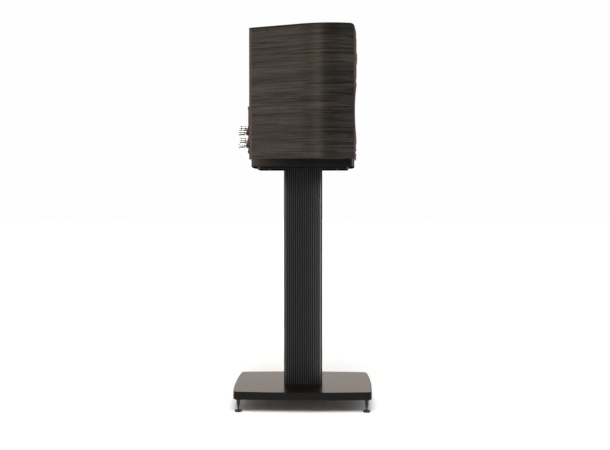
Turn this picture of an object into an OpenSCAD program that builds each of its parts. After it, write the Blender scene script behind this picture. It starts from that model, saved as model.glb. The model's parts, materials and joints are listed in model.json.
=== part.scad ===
// Two-way bookshelf loudspeaker on its fluted floor stand.
// Millimetres. Origin on the floor under the centre of the base plate.
// X is the width, -Y is the front with the drivers, +Z is up.

/* [Cabinet] */
// Height of the cabinet
cab_h = 378; // [340:1:440]
// Greatest width, across the curved sides
cab_w = 214; // [210:1:240]
// Depth, from the middle of the bowed front to the rear panel
cab_depth = 310; // [300:1:340]
// How far the middle of the cabinet sits behind the middle of the stand
cab_offset = 1; // [-5:0.5:5]
// Distance from the front of the bow back to the widest section
belly_back = 77; // [72:1:84]
// Radius of each side in front of the widest section
front_side_r = 227; // [215:1:300]
// Radius of each side behind the widest section
rear_side_r = 260; // [250:1:290]
// Angle at which each side runs straight towards the rear
taper_angle = 19.2; // [17:0.1:20]
// Thickness of the curved side panels
side_t = 16; // [12:0.5:18]
// Width of the wooden lip that frames the baffle
lip_w = 4.5; // [4:0.5:6]
// Thickness of the rear panel
rear_t = 15; // [12:0.5:18]
// Radius of the rear vertical corners
rear_corner_r = 11; // [6:0.5:12]
// Thickness of the top panel's covering layer, seen as the dark top edge
cap_t = 4; // [3:0.5:6]
// Thickness of the top panel's plug between the sides
plug_t = 14; // [10:1:18]
// Thickness of the bottom board
bottom_t = 12; // [10:0.5:12]

/* [Baffle] */
// How far the middle of the baffle stands in front of the side panels
bow_rise = 7.5; // [5:0.5:8]
// Radius of the baffle's bow in plan
bow_r = 430; // [420:10:520]
// Thickness of the baffle at its middle
baffle_t = 30; // [28:0.5:34]
// Radius of the rounded top front edge
top_front_r = 13; // [8:0.5:14]
// How far the trims stand in front of the baffle
trim_proud = 1; // [0.5:0.1:1.5]

/* [Woofer] */
// Height of the woofer's axis above the cabinet's underside
woofer_up = 135; // [128:0.5:142]
// Outer radius of the woofer's trim ring
ring_r = 90; // [86:0.5:90.5]
// Radius of the cone's outer edge
cone_r = 60; // [56:0.5:61]
// Travel of the cone each way
woofer_travel = 5; // [3:0.5:6]
// Outer radius of the ferrite magnet
magnet_r = 50; // [44:0.5:56]

/* [Tweeter] */
// Height of the tweeter's axis above the cabinet's underside
tweeter_up = 295.5; // [292:0.5:300]
// Outer radius of the tweeter's faceplate
face_r = 58; // [54:0.5:60]
// Radius of the dome
dome_r = 14; // [13:0.5:15]
// Height of the dome
dome_h = 6.2; // [5:0.1:7]

/* [Port] */
// Height of the slot port's axis above the cabinet's underside
port_up = 20.5; // [20.5:0.5:24]
// Width of the slot
slot_w = 130; // [100:1:136]
// Height of the slot
slot_h = 11; // [8:0.5:11]
// Length of the duct behind the baffle
duct_l = 140; // [100:1:150]

/* [Terminals] */
// Width of the terminal plate
plate_w = 64; // [60:1:66]
// Height of the terminal plate
plate_h = 138; // [128:1:142]
// Thickness of the terminal plate
plate_t = 2.6; // [2:0.1:3]
// Sideways distance of each post from the middle
post_x = 20; // [17:0.5:22]
// Radius of the posts' clamping knobs at the flared rim
knob_r = 8.9; // [8:0.1:9.2]
// Length of a knob
knob_l = 18.3; // [16:0.1:20]
// Travel of a knob along its stud
knob_travel = 5; // [3:0.5:6]

/* [Stand] */
// Height of the underside of the base plate above the floor
foot_h = 36; // [32:0.5:42]
// Thickness of the base plate
base_t = 22; // [18:0.5:26]
// Width of the base plate across the middle
base_w = 280; // [260:1:300]
// Depth of the base plate along the middle
base_d = 395; // [380:1:410]
// Height of the cabinet's underside above the floor
cab_z = 707; // [600:1:800]
// Thickness of the stand's top plate
top_t = 22; // [18:0.5:26]
// Width of the stand's top plate
top_w = 168; // [160:1:180]
// Depth of the stand's top plate
top_d = 298; // [290:1:304]
// How far the column's flange stops short of the top plate at each side
flange_in_x = 24; // [20:1:28]
// How far the column's flange stops short of the top plate at the front and back
flange_in_y = 18; // [12:1:24]
// Depth of the column, front to back
column_d = 111; // [100:1:120]
// Width of the column
column_w = 80; // [74:1:90]
// Distance between neighbouring flutes
flute_pitch = 6.1; // [5.5:0.1:7]
// How far each foot's axis sits in from the side of the base plate
foot_in_x = 20; // [19:0.5:30]
// How far each foot's axis sits in from the front or back of the base plate
foot_in_y = 18.5; // [16.5:0.5:32]
// Radius of the floor discs
disc_r = 10; // [8:0.5:12]
// Travel of a spike as it is screwed out
foot_travel = 8; // [4:0.5:8]

/* [Hidden] */
$fn = 96;
wood = [0.27, 0.235, 0.21];
edge_wood = [0.36, 0.28, 0.26];
leather = [0.085, 0.08, 0.08];
board = [0.62, 0.50, 0.36];
satin_black = [0.10, 0.10, 0.10];
satin_grey = [0.42, 0.40, 0.38];
bare_steel = [0.72, 0.72, 0.72];
bright = [0.82, 0.81, 0.79];
copper = [0.72, 0.42, 0.22];
paper = [0.20, 0.20, 0.21];
rubber = [0.06, 0.06, 0.06];
ferrite = [0.16, 0.16, 0.17];
felt = [0.78, 0.77, 0.74];
red = [0.62, 0.07, 0.07];
gap = 0.3;
eps = 0.01;
hair = 0.02;

// Cabinet places
cab_top = cab_z + cab_h;
cap_z = cab_top - cap_t;
bow_y = cab_offset - cab_depth / 2;
rear_y = cab_offset + cab_depth / 2;
side_y = bow_y + bow_rise;
belly_y = bow_y + belly_back;
joint_y = rear_y - rear_t;
baffle_y = bow_y + baffle_t;
bow_centre = bow_y + bow_r;
far = bow_y - 20;
bottom_z = cab_z + bottom_t;
brace_t = 15;
wadding_t = 12;

// Drivers
woofer_z = cab_z + woofer_up;
tweeter_z = cab_z + tweeter_up;
ring_seat_y = bow_y + 14;
flange_t = 5;
flange_r = ring_r - 3;
basket_r = flange_r - 11.5;
surround_t = 0.8;
roll_r = 5.5;
roll_mid_r = cone_r + roll_r;
spider_y = ring_seat_y + 40;
spider_r = 50;
motor_y = ring_seat_y + 56;
pole_r = 12.4;
former_r = 12.85;
former_t = 0.3;
winding_t = 0.7;
plate_bore_r = 14.4;
top_plate_t = 6;
ferrite_t = 18;
yoke_t = 7;
woofer_screw_r = flange_r - 5.5;
ring_back = 3.4;
face_seat_y = bow_y + 8;
dome_y = bow_y + 2.5;
tweeter_pole_r = dome_r - 0.95;
tweeter_screw_r = face_r - 9;
tweeter_cup_r = 33;

// Port
port_z = cab_z + port_up;
trim_y = bow_y + 11;
trim_rim = 2.8;
duct_t = 3;

// Terminals: one entry for each post, [side, height above the cabinet's underside]
plate_z = cab_z + 86;
POSTS = [[-1, 78.6], [-1, 42.3], [1, 93.7], [1, 58.3]];
post_ring_l = 6.3;
post_ring_r = 8;
stud_r = 3.9;
socket_r = 2;
socket_l = 15;
plate_face_y = rear_y + plate_t;
collar_y = plate_face_y + post_ring_l + gap;
collar_l = 3.2;
knob_y = collar_y + collar_l + gap;
stud_tip_y = knob_y + 9.3 + knob_travel;

// Stand
base_z = foot_h;
base_top = foot_h + base_t;
top_z = cab_z - top_t;
column_flange_t = 6.3;
flange_corner_r = 10;
flange_z = top_z - column_flange_t;
column_h = flange_z - base_top;
column_wall = 7;
column_corner_r = 9;
flute_r = 2.4;
tie_x = column_w / 2 - 18;
tie_y = column_d / 2 - 20;
bolt_x = top_w / 2 - 54;
bolt_y = top_d / 2 - 49;
foot_x = base_w / 2 - foot_in_x;
foot_y = base_d / 2 - foot_in_y;
FEET = [[-1, -1], [1, -1], [-1, 1], [1, 1]];
spike_r = 5;
thread_r = 4;
nut_t = 2.5;
disc_t = 5;
spike_top = base_z + 9 + foot_travel;

// ---- Outlines of the cabinet ----

// Where the straight part of a side begins, for an outline set in by i. It lies a hair inside
// the arc, so that the two cross cleanly instead of only touching.
function taper_x(i) = cab_w / 2 - rear_side_r + (rear_side_r - i) * cos(taper_angle) - hair;
function taper_y(i) = belly_y + (rear_side_r - i) * sin(taper_angle);
// Half width of the straight part at y
function tail_x(i, y) = taper_x(i) - (y - taper_y(i)) * tan(taper_angle);

// The lens between two mirrored arcs of radius r that meet the belly, cut to y0..y1
module lens(r, inset, y0, y1) {
    centre_x = cab_w / 2 - r;
    intersection() {
        translate([centre_x, belly_y]) circle(r - inset, $fn = 360);
        translate([-centre_x, belly_y]) circle(r - inset, $fn = 360);
        translate([-cab_w, y0]) square([2 * cab_w, y1 - y0]);
    }
}

// Plan of the cabinet set in by inset, from y0 to y1, with square ends
module plan(inset, y0, y1) {
    x = taper_x(inset);
    y = taper_y(inset);
    lens(front_side_r, inset, y0, belly_y);
    lens(rear_side_r, inset, belly_y, y + 8);
    polygon([[-x, y], [x, y], [tail_x(inset, y1), y1], [-tail_x(inset, y1), y1]]);
}

// Plan of the rear panel, with its round corners
module rear_plan() {
    a = taper_angle;
    cy = rear_y - rear_corner_r;
    reach = taper_x(0) * cos(a) + taper_y(0) * sin(a) - rear_corner_r;
    cx = (reach - cy * sin(a)) / cos(a);
    tx = cx + rear_corner_r * cos(a);
    ty = cy + rear_corner_r * sin(a);
    j = tail_x(0, joint_y);
    intersection() {
        union() {
            polygon([
                [-j, joint_y], [j, joint_y], [tx, ty], [cx, rear_y], [-cx, rear_y], [-tx, ty]
            ]);
            translate([cx, cy]) circle(rear_corner_r);
            translate([-cx, cy]) circle(rear_corner_r);
        }
        translate([-cab_w, joint_y]) square([2 * cab_w, cab_depth]);
    }
}

// Everything behind the side panels' round top front corner. The corner's circle sits a hair
// forward, so that it cuts the panel's own front face instead of only touching it.
module side_envelope() {
    r = top_front_r;
    rotate([90, 0, 90])
        translate([0, 0, -cab_w])
            linear_extrude(2 * cab_w) {
                translate([side_y - 1, cab_z - 1]) square([cab_depth + 1, cab_h + 1 - r]);
                translate([side_y + r, cab_top - r - eps]) square([cab_depth - r, r + eps]);
                translate([side_y + r - hair, cab_top - r]) circle(r);
            }
}

// Everything behind the bow, with its round top edge
module bow_envelope() {
    r = top_front_r;
    translate([0, bow_centre, 0])
        rotate_extrude($fn = 360) {
            translate([0, cab_z - 1]) square([bow_r, cab_h + 1 - r]);
            translate([0, cab_top - r - eps]) square([bow_r - r, r + eps]);
            translate([bow_r - r, cab_top - r]) circle(r);
        }
}

// A solid cylinder of the bow's radius, set out by proud
module bow_cylinder(proud, z0, z1) {
    translate([0, bow_centre, z0]) cylinder(h = z1 - z0, r = bow_r + proud, $fn = 360);
}

// ---- Small helpers ----

// Turns a solid made along Z so that its axis runs along Y, at height z
module along_y(x, z) {
    translate([x, 0, z]) rotate([-90, 0, 0]) children();
}

module rod(r, y0, y1) {
    translate([0, 0, y0]) cylinder(h = y1 - y0, r = r);
}

module tube(r_out, r_in, y0, y1) {
    difference() {
        rod(r_out, y0, y1);
        rod(r_in, y0 - 1, y1 + 1);
    }
}

module stadium(w, h) {
    square([w - h, h], center = true);
    translate([(w - h) / 2, 0]) circle(h / 2);
    translate([-(w - h) / 2, 0]) circle(h / 2);
}

// A stadium along Y, centred on the port
module slot_solid(w, h, y0, y1) {
    translate([0, y1, port_z])
        rotate([90, 0, 0])
            linear_extrude(y1 - y0) stadium(w, h);
}

// A rectangle whose long edges bow out by bow_x and short edges by bow_y, with round corners
module bowed_rectangle(w, d, rise_x, rise_y, corner) {
    long_r = (pow(d / 2, 2) + pow(rise_x, 2)) / (2 * rise_x);
    short_r = (pow(w / 2, 2) + pow(rise_y, 2)) / (2 * rise_y);
    offset(r = corner, $fn = 64)
        offset(delta = -corner)
            intersection() {
                translate([w / 2 - long_r, 0]) circle(long_r, $fn = 720);
                translate([long_r - w / 2, 0]) circle(long_r, $fn = 720);
                translate([0, d / 2 - short_r]) circle(short_r, $fn = 720);
                translate([0, short_r - d / 2]) circle(short_r, $fn = 720);
            }
}

// Screw with a round head and a hexagonal socket, head face at y0, pointing along +Y
module screw(head_r, head_l, shank_r, length, y0) {
    difference() {
        union() {
            rod(head_r, y0, y0 + head_l);
            rod(shank_r, y0 + head_l, y0 + head_l + length);
        }
        translate([0, 0, y0 - 1]) cylinder(h = 1 + head_l * 0.6, r = head_r * 0.5, $fn = 6);
    }
}

// ---- Cabinet ----

module side_panel(side) {
    color(wood)
        intersection() {
            translate([0, 0, cab_z])
                linear_extrude(cap_z - cab_z)
                    difference() {
                        plan(0, side_y, joint_y);
                        plan(side_t, baffle_y - 1, joint_y + 1);
                        lens(front_side_r, lip_w, side_y - 1, baffle_y);
                        translate([side > 0 ? -cab_w : 0, far]) square([cab_w, 2 * cab_depth]);
                    }
            side_envelope();
        }
}

module rear_panel() {
    color(edge_wood)
        difference() {
            translate([0, 0, cab_z]) linear_extrude(cap_z - cab_z) rear_plan();
            translate([-plate_w / 2 + 4, joint_y - 1, plate_z - plate_h / 2 + 13])
                cube([plate_w - 8, rear_t + 2, plate_h - 26]);
            terminal_screw_places() rod(1.5, joint_y - 1, rear_y + 1);
        }
}

module front_baffle() {
    color(leather)
        difference() {
            intersection() {
                translate([0, 0, cab_z])
                    linear_extrude(cap_z - cab_z)
                        lens(front_side_r, lip_w, bow_y - 1, baffle_y);
                bow_envelope();
            }
            along_y(0, woofer_z) {
                rod(ring_r + gap, far, ring_seat_y);
                rod(flange_r + gap, far, ring_seat_y + flange_t);
                rod(basket_r + 0.5, far, baffle_y + 1);
            }
            along_y(0, tweeter_z) {
                rod(face_r + gap, far, face_seat_y);
                rod(tweeter_cup_r + 1, far, baffle_y + 1);
            }
            woofer_screw_places() rod(2.05, far, baffle_y + 1);
            tweeter_screw_places() rod(1.95, far, baffle_y + 1);
            slot_solid(slot_w + 2 * trim_rim + 2 * gap, slot_h + 2 * trim_rim + 2 * gap, far, trim_y);
            slot_solid(slot_w + 2 * duct_t, slot_h + 2 * duct_t, far, baffle_y + 1);
        }
}

module top_panel() {
    color(leather) {
        intersection() {
            translate([0, 0, cap_z])
                linear_extrude(cap_t) {
                    plan(0, side_y, joint_y);
                    rear_plan();
                    lens(front_side_r, lip_w, bow_y - 1, side_y);
                }
            union() {
                side_envelope();
                bow_envelope();
            }
        }
        translate([0, 0, cap_z - plug_t])
            linear_extrude(plug_t) plan(side_t, baffle_y, joint_y);
    }
}

module bottom_board() {
    color(board)
        difference() {
            translate([0, 0, cab_z]) linear_extrude(bottom_t) plan(side_t, baffle_y, joint_y);
            cabinet_bolt_places() translate([0, 0, cab_z - 1]) cylinder(h = bottom_t + 2, r = 3.05);
        }
}

module window_brace() {
    z = woofer_z + flange_r - 7;
    color(board)
        difference() {
            translate([0, 0, z]) linear_extrude(brace_t) plan(side_t, baffle_y, joint_y);
            translate([-55, baffle_y + 20, z - 1]) cube([110, 90, brace_t + 2]);
            translate([-38, baffle_y + 135, z - 1]) cube([76, 90, brace_t + 2]);
        }
}

module damping_wadding() {
    brace_z = woofer_z + flange_r - 7;
    low = port_z + slot_h / 2 + duct_t + 6;
    high = cap_z - plug_t - 2;
    color(felt)
        for (span = [[low, brace_z - 2], [brace_z + brace_t + 2, high]])
            translate([0, 0, span[0]])
                linear_extrude(span[1] - span[0])
                    difference() {
                        plan(side_t + gap, baffle_y + 20, joint_y - 25);
                        plan(side_t + wadding_t, baffle_y + 19, joint_y - 24);
                    }
}

// ---- Port ----

module port_duct() {
    color(satin_black)
        difference() {
            slot_solid(slot_w + 2 * duct_t, slot_h + 2 * duct_t, trim_y, baffle_y + duct_l);
            slot_solid(slot_w, slot_h, trim_y - 1, baffle_y + duct_l + 1);
        }
}

module port_trim() {
    color(satin_black)
        difference() {
            intersection() {
                slot_solid(slot_w + 2 * trim_rim, slot_h + 2 * trim_rim, far, trim_y);
                bow_cylinder(trim_proud, cab_z, cab_top);
            }
            slot_solid(slot_w, slot_h, far - 1, trim_y + 1);
        }
}

// ---- Crossover ----
xo_w = 64;
xo_l = 84;
xo_t = 2;
xo_foot_l = 5;
xo_z = bottom_z + xo_foot_l;
xo_y = baffle_y + duct_l + 14;
xo_top = xo_z + xo_t;

// Coils and capacitors, one entry each: [x, distance behind the board's front edge, radius, length]
COILS = [[-10, 22, 20, 16], [13, 64, 15, 14]];
CAPACITORS = [[21, 4, 8, 36], [-16, 48, 7, 32]];

module crossover_board() {
    color([0.10, 0.30, 0.16]) {
        translate([-xo_w / 2, xo_y, xo_z]) cube([xo_w, xo_l, xo_t]);
        for (x = [-1, 1], y = [5, xo_l - 5])
            translate([x * (xo_w / 2 - 5), xo_y + y, bottom_z]) cylinder(h = xo_foot_l, r = 3);
    }
}

module crossover_inductors() {
    color(copper)
        for (c = COILS)
            translate([c[0], xo_y + c[1], xo_top])
                difference() {
                    cylinder(h = c[3], r = c[2]);
                    translate([0, 0, -1]) cylinder(h = c[3] + 2, r = 0.45 * c[2]);
                }
}

module crossover_capacitors() {
    color(felt)
        for (c = CAPACITORS)
            translate([c[0], xo_y + c[1], xo_top + c[2]])
                rotate([-90, 0, 0]) cylinder(h = c[3], r = c[2]);
}

// A wire of radius r along straight runs between points
module wire(points, r) {
    for (i = [0 : len(points) - 2]) {
        run = points[i + 1] - points[i];
        l = norm(run);
        translate(points[i])
            rotate([0, acos(run[2] / l), atan2(run[1], run[0])])
                cylinder(h = l, r = r, $fn = 16);
    }
    for (i = [1 : len(points) - 2])
        translate(points[i]) sphere(r * 1.08, $fn = 16);
}

// Pairs of wires to the terminals, the woofer and the tweeter, each ending upright on the board
module internal_wiring() {
    board = xo_top + gap;
    terminal_y = rear_y - 22;
    terminal_end = xo_y + xo_l - 6;
    basket_back = motor_y + gap;
    chamber_back = face_seat_y + tweeter_motor_t + chamber_l + gap;
    color(red)
        for (x = [-3, 3]) {
            wire([
                [x, terminal_y, cab_z + 58], [x, terminal_y, board + 20],
                [x, terminal_end, board + 20], [x, terminal_end, board]
            ], 1);
            wire([
                [x - magnet_r - 6, basket_back, woofer_z], [x - magnet_r - 6, basket_back + 40, woofer_z],
                [x - 25, xo_y + 3, board + 40], [x - 25, xo_y + 3, board]
            ], 1);
            wire([
                [x, chamber_back, tweeter_z], [x, chamber_back + 6, tweeter_z],
                [x, baffle_y + 80, tweeter_z - 20], [x, baffle_y + 160, woofer_z + flange_r],
                [x + 25, xo_y + 44, board + 30], [x + 25, xo_y + 44, board]
            ], 1);
        }
}

// ---- Woofer ----
basket_front_r = basket_r - 5;
cone_front_y = ring_seat_y - 1.5;
cone_apex_y = ring_seat_y + 27;
cone_apex_r = former_r + former_t + 0.05;
cone_t = 1;
cap_r = 21;
cap_h = 6;
winding_l = 2 * woofer_travel + 4;
winding_y = motor_y + top_plate_t / 2 - winding_l / 2;

// Face of the cone at radius r
function cone_at(r) = cone_apex_y + (r - cone_apex_r) / (cone_r - cone_apex_r) * (cone_front_y - cone_apex_y);

module woofer_screw_places() {
    along_y(0, woofer_z)
        for (a = [0 : 45 : 315])
            rotate(a + 22.5) translate([woofer_screw_r, 0, 0]) children();
}

module woofer_basket() {
    back_r = basket_r - 21.5;
    ledge_y = spider_y + 0.6;
    color(satin_black)
        difference() {
            along_y(0, woofer_z)
                rotate_extrude()
                    polygon([
                        [15, motor_y], [15, motor_y - 4], [spider_r - 4, motor_y - 4],
                        [spider_r - 4, ledge_y], [spider_r + 0.4, ledge_y],
                        [spider_r + 2, spider_y - 2], [basket_front_r, ring_seat_y + 6],
                        [basket_front_r, ring_seat_y], [flange_r, ring_seat_y],
                        [flange_r, ring_seat_y + flange_t], [basket_r, ring_seat_y + flange_t],
                        [max(back_r, spider_r + 4), motor_y - 6], [max(back_r, spider_r + 4), motor_y]
                    ]);
            along_y(0, woofer_z)
                for (a = [0 : 60 : 300])
                    rotate(a) translate([40, -21, ring_seat_y + 12]) cube([basket_r, 42, 24]);
            woofer_screw_places() rod(2.1, ring_seat_y - 1, ring_seat_y + flange_t + 1);
        }
}

module woofer_top_plate() {
    color(bare_steel)
        along_y(0, woofer_z)
            tube(magnet_r - 5, plate_bore_r, motor_y, motor_y + top_plate_t);
}

module woofer_magnet() {
    color(ferrite)
        along_y(0, woofer_z)
            tube(magnet_r, 24, motor_y + top_plate_t, motor_y + top_plate_t + ferrite_t);
}

module woofer_yoke() {
    back = motor_y + top_plate_t + ferrite_t;
    color(bare_steel)
        along_y(0, woofer_z)
            difference() {
                union() {
                    rod(magnet_r - 5, back, back + yoke_t);
                    rod(pole_r, motor_y - 1, back + 1);
                }
                rod(5, motor_y - 2, back + yoke_t + 1);
            }
}

module woofer_spider() {
    color([0.75, 0.60, 0.30])
        along_y(0, woofer_z)
            tube(spider_r, cone_apex_r + 0.25, spider_y, spider_y + 0.6);
}

module woofer_surround() {
    color(rubber)
        along_y(0, woofer_z) {
            tube(flange_r - 10, roll_mid_r + roll_r - 1, ring_seat_y - surround_t, ring_seat_y);
            rotate_extrude()
                translate([roll_mid_r, ring_seat_y - surround_t])
                    difference() {
                        circle(roll_r - 0.2);
                        circle(roll_r - 0.2 - surround_t);
                        translate([-roll_r, 0]) square([2 * roll_r, roll_r]);
                    }
        }
}

module woofer_trim_ring() {
    inner = flange_r - 8.5;
    color(satin_black)
        intersection() {
            along_y(0, woofer_z)
                rotate_extrude($fn = 180)
                    polygon([
                        [inner, ring_seat_y - ring_back], [inner + 4.5, bow_y - 5], [ring_r, bow_y - 5],
                        [ring_r, ring_seat_y], [flange_r - 0.5, ring_seat_y],
                        [flange_r - 0.5, ring_seat_y - ring_back]
                    ]);
            bow_cylinder(trim_proud, cab_z, cab_top);
        }
}

module woofer_screws() {
    color(bright)
        woofer_screw_places() screw(3.5, 2.6, 2, 14, ring_seat_y - 2.6);
}

module woofer_cone() {
    color(paper)
        along_y(0, woofer_z)
            rotate_extrude($fn = 180)
                polygon([
                    [cone_apex_r, cone_apex_y], [cone_r, cone_front_y],
                    [cone_r, cone_front_y + cone_t], [cone_apex_r, cone_apex_y + cone_t]
                ]);
}

module woofer_voice_coil() {
    outer = former_r + former_t;
    color(copper)
        along_y(0, woofer_z) {
            tube(outer, former_r, cone_apex_y, winding_y + winding_l);
            tube(outer + winding_t, former_r + 0.05, winding_y, winding_y + winding_l);
        }
}

// A thin dome on axis Y: base radius r, height h, base at y, bulging to the front
module dome_shell(r, h, t, y) {
    ball = (r * r + h * h) / (2 * h);
    centre = y - h + ball;
    intersection() {
        translate([0, 0, centre])
            difference() {
                sphere(ball);
                sphere(ball - t);
            }
        rod(r, y - h - 1, y);
    }
}

module woofer_dust_cap() {
    color(paper)
        along_y(0, woofer_z) dome_shell(cap_r, cap_h, 0.8, cone_at(cap_r) - 0.1);
}

// ---- Tweeter ----
tweeter_ledge_y = dome_y + 1.3;
tweeter_roll_r = 2;
tweeter_roll_mid = dome_r + 2.15;
tweeter_motor_t = 20;
chamber_l = 28;

module tweeter_screw_places() {
    along_y(0, tweeter_z)
        for (a = [45 : 90 : 315])
            rotate(a) translate([tweeter_screw_r, 0, 0]) children();
}

module tweeter_faceplate() {
    opening = tweeter_roll_mid + tweeter_roll_r;
    color(satin_black)
        difference() {
            intersection() {
                along_y(0, tweeter_z) rod(face_r, bow_y - 5, face_seat_y);
                bow_cylinder(trim_proud, cab_z, cab_top);
            }
            along_y(0, tweeter_z) {
                translate([0, 0, bow_y - 2])
                    cylinder(h = tweeter_ledge_y - bow_y + 2 - 0.6, r1 = dome_r + 20, r2 = opening);
                rod(opening, bow_y, face_seat_y + 1);
                rod(opening + 1.6, tweeter_ledge_y - 0.1, face_seat_y + 1);
            }
            tweeter_screw_places() {
                rod(3.6, bow_y - 5, face_seat_y - 3);
                rod(2.1, bow_y - 5, face_seat_y + 1);
            }
        }
}

module tweeter_magnet() {
    back = face_seat_y + tweeter_motor_t;
    color(bare_steel)
        along_y(0, tweeter_z)
            difference() {
                rod(tweeter_cup_r, face_seat_y, back);
                tube(dome_r + 1, tweeter_pole_r, face_seat_y - 1, back - 6);
                rod(5, face_seat_y - 1, back + 1);
            }
}

module tweeter_rear_chamber() {
    front = face_seat_y + tweeter_motor_t;
    color(satin_black)
        along_y(0, tweeter_z)
            difference() {
                rod(tweeter_cup_r - 6, front, front + chamber_l);
                rod(tweeter_cup_r - 9, front - 1, front + chamber_l - 3);
            }
}

module tweeter_surround() {
    outer = tweeter_roll_mid + tweeter_roll_r;
    color(rubber)
        along_y(0, tweeter_z) {
            tube(outer + 1.5, outer - 0.5, tweeter_ledge_y, face_seat_y);
            rotate_extrude()
                translate([tweeter_roll_mid, tweeter_ledge_y + 0.1])
                    difference() {
                        circle(tweeter_roll_r - 0.1);
                        circle(tweeter_roll_r - 0.6);
                        translate([-tweeter_roll_r, 0]) square([2 * tweeter_roll_r, tweeter_roll_r]);
                    }
        }
}

module tweeter_screws() {
    color(satin_black)
        tweeter_screw_places() screw(3.2, 2.4, 1.9, 15, face_seat_y - 3 - 2.4);
}

module tweeter_dome() {
    color(paper)
        along_y(0, tweeter_z) dome_shell(dome_r, dome_h, 0.5, dome_y);
}

module tweeter_voice_coil() {
    color(copper)
        along_y(0, tweeter_z)
            tube(dome_r + 0.2, dome_r - 0.5, dome_y + 0.02, face_seat_y + 8);
}

// ---- Terminals ----

module rounded_rectangle(w, d, r) {
    square([w - 2 * r, d], center = true);
    square([w, d - 2 * r], center = true);
    for (x = [-1, 1], y = [-1, 1])
        translate([x * (w / 2 - r), y * (d / 2 - r)]) circle(r);
}

module terminal_screw_places() {
    for (x = [-1, 1], z = [-1, 1])
        along_y(x * (plate_w / 2 - 7), plate_z + z * (plate_h / 2 - 6)) children();
}

module post_places(side) {
    for (p = POSTS)
        if (side == 0 || p[0] == side)
            along_y(p[0] * post_x, cab_z + p[1]) children();
}

module terminal_plate() {
    color(satin_black)
        difference() {
            translate([0, plate_face_y, plate_z])
                rotate([90, 0, 0])
                    linear_extrude(plate_t) rounded_rectangle(plate_w, plate_h, 7);
            post_places(0) rod(stud_r + 0.05, rear_y - 1, plate_face_y + 1);
            terminal_screw_places() rod(1.6, rear_y - 1, plate_face_y + 1);
        }
}

module terminal_screws() {
    color(bare_steel)
        terminal_screw_places() mirror([0, 0, 1]) screw(2.9, 1.8, 1.5, 12, -plate_face_y - 1.8);
}

module post_studs() {
    color(bright)
        post_places(0)
            difference() {
                union() {
                    rod(stud_r, rear_y - 14, stud_tip_y);
                    rod(6.5, rear_y - 3, rear_y);
                }
                rod(socket_r, stud_tip_y - socket_l, stud_tip_y + 1);
            }
}

module post_rings(side) {
    color(side > 0 ? red : satin_black)
        post_places(side) tube(post_ring_r, stud_r + 0.05, plate_face_y, plate_face_y + post_ring_l);
}

module post_collar(i) {
    color(bright)
        along_y(POSTS[i][0] * post_x, cab_z + POSTS[i][1])
            tube(6.2, stud_r + 0.1, collar_y, collar_y + collar_l);
}

module post_knob(i) {
    bore = stud_r + 0.1;
    color(bright)
        along_y(POSTS[i][0] * post_x, cab_z + POSTS[i][1])
            translate([0, 0, knob_y])
                rotate_extrude()
                    polygon([
                        [bore, 0], [7, 0], [7.4, 0.6], [7.4, 3.2], [6.2, 3.8], [6.2, 5.6],
                        [7.6, 6.2], [7.6, 12.6], [knob_r, 13.8], [knob_r, knob_l - 0.7],
                        [knob_r - 0.7, knob_l], [bore, knob_l]
                    ]);
}

// ---- Stand ----

module cabinet_bolt_places() {
    for (x = [-1, 1], y = [-1, 1])
        translate([x * bolt_x, y * bolt_y, 0]) children();
}

module tie_bolt_places() {
    for (x = [-1, 1], y = [-1, 1])
        translate([x * tie_x, y * tie_y, 0]) children();
}

module stand_top_plate() {
    color(satin_black)
        difference() {
            translate([0, 0, top_z])
                linear_extrude(top_t) bowed_rectangle(top_w, top_d, 4, 4, 12);
            cabinet_bolt_places() translate([0, 0, top_z - 1]) cylinder(h = top_t + 2, r = 3.2);
            tie_bolt_places() translate([0, 0, top_z - 1]) cylinder(h = 13, r = 4);
        }
}

module cabinet_bolts() {
    color(bare_steel)
        cabinet_bolt_places()
            difference() {
                union() {
                    translate([0, 0, flange_z + 0.2]) cylinder(h = 4, r = 5);
                    translate([0, 0, flange_z + 4]) cylinder(h = bottom_z - flange_z - 6, r = 3);
                }
                translate([0, 0, flange_z - 1]) cylinder(h = 3.5, r = 2.9, $fn = 6);
            }
}

module column_flange() {
    color(satin_black)
        difference() {
            translate([0, 0, flange_z])
                linear_extrude(column_flange_t)
                    rounded_rectangle(top_w - 2 * flange_in_x, top_d - 2 * flange_in_y, flange_corner_r);
            cabinet_bolt_places() {
                translate([0, 0, flange_z - 1]) cylinder(h = 9, r = 3.2);
                translate([0, 0, flange_z - 1]) cylinder(h = 5.2, r = 5.2);
            }
            tie_bolt_places() translate([0, 0, flange_z - 1]) cylinder(h = 9, r = 4);
        }
}

// A row of flutes along one face of the column: face at distance out, straight run long
module flute_row(out, run) {
    n = floor(run / flute_pitch);
    for (i = [0 : n])
        translate([out + 0.4, (i - n / 2) * flute_pitch]) circle(flute_r, $fn = 32);
}

module fluted_column() {
    color(satin_black)
        translate([0, 0, base_top])
            linear_extrude(column_h)
                difference() {
                    rounded_rectangle(column_w, column_d, column_corner_r);
                    rounded_rectangle(column_w - 2 * column_wall, column_d - 2 * column_wall, 6);
                    for (a = [0, 180]) rotate(a) {
                        flute_row(column_w / 2, column_d - 2 * column_corner_r);
                        rotate(90) flute_row(column_d / 2, column_w - 2 * column_corner_r);
                    }
                }
}

module column_tie_bolts() {
    head_z = base_z + 1;
    color(bare_steel)
        tie_bolt_places()
            difference() {
                union() {
                    translate([0, 0, head_z]) cylinder(h = 8, r = 6.5);
                    translate([0, 0, head_z + 7]) cylinder(h = top_z + 11 - head_z - 7, r = 4);
                }
                translate([0, 0, head_z - 1]) cylinder(h = 5, r = 3.5, $fn = 6);
            }
}

module foot_places() {
    for (f = FEET)
        translate([f[0] * foot_x, f[1] * foot_y, 0]) children();
}

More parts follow.
